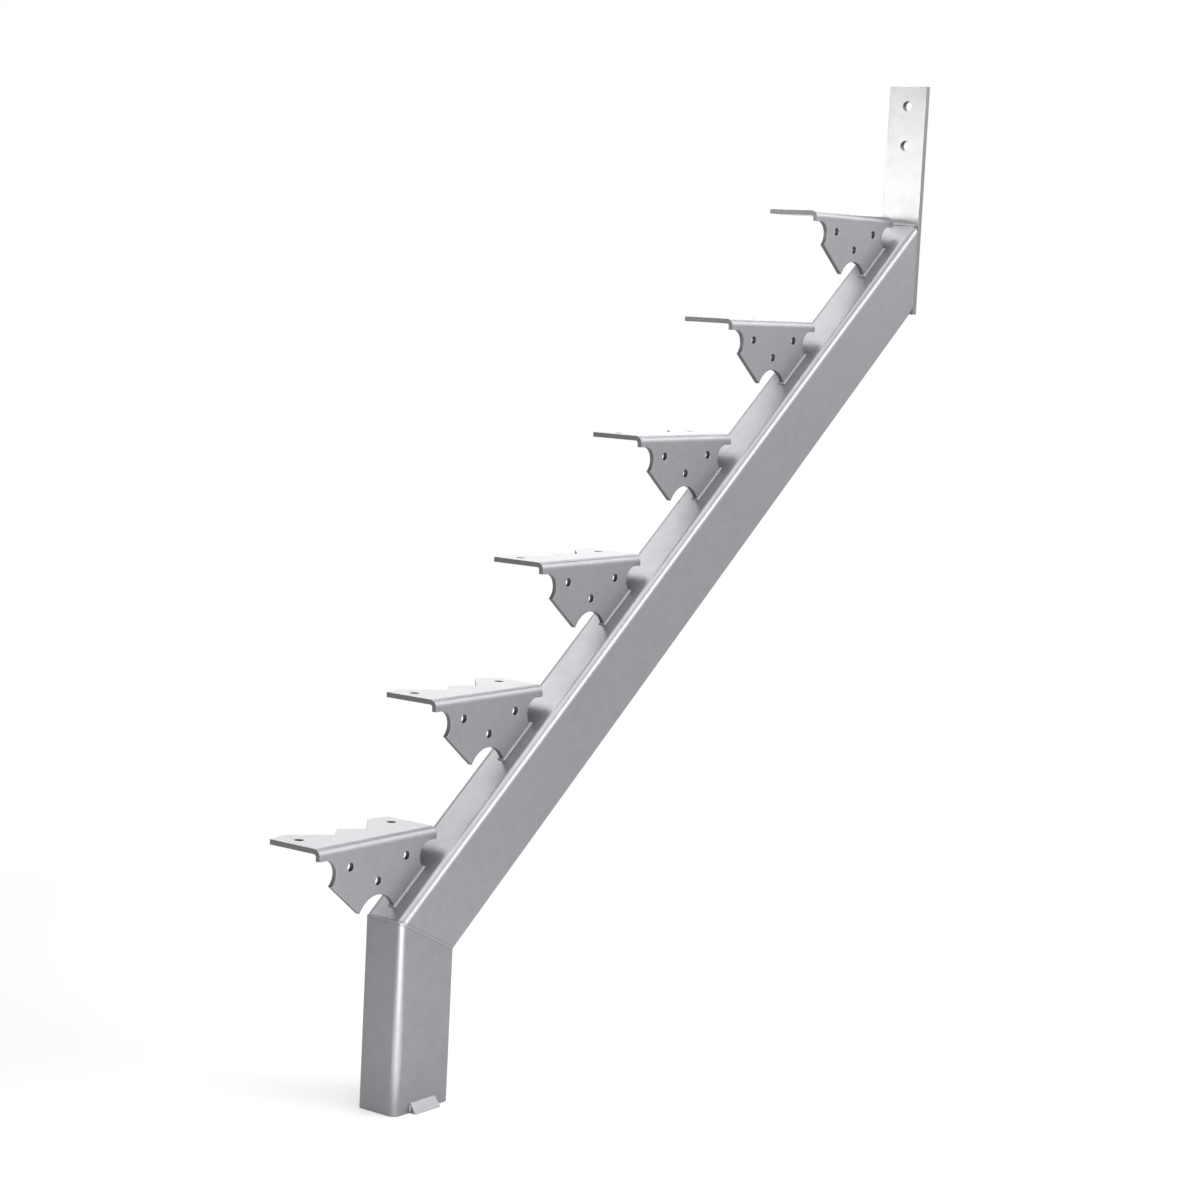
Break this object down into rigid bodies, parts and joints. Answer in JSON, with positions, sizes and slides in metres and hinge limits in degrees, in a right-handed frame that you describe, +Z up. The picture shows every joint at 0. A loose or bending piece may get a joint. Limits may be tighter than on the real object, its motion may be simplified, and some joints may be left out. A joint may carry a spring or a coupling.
{
  "type": "stair stringer",
  "caption": "Welded steel stair stringer: hollow-section beam on a plumb foot, folded tread brackets on its top face, bolt plate at the head.",
  "frame": {"origin": "middle of the foot post's lower end", "axes": "+X level along the climb, towards the deck; +Y across the stair, towards the treads; +Z up"},
  "size_m": [1.497, 0.1505, 1.5958],
  "materials": {
    "tube_steel": "hot-dip galvanised, satin",
    "plate_steel": "hot-dip galvanised, satin",
    "bracket_steel": "hot-dip galvanised, satin"
  },
  "bodies": {
    "root": {"inclined_beam": "tube_steel", "foot_post": "tube_steel", "top_plate": "plate_steel", "foot_lug": "plate_steel", "tread_bracket_1": "bracket_steel", "tread_bracket_2": "bracket_steel", "tread_bracket_3": "bracket_steel", "tread_bracket_4": "bracket_steel", "tread_bracket_5": "bracket_steel", "tread_bracket_6": "bracket_steel"}
  },
  "joints": []
}
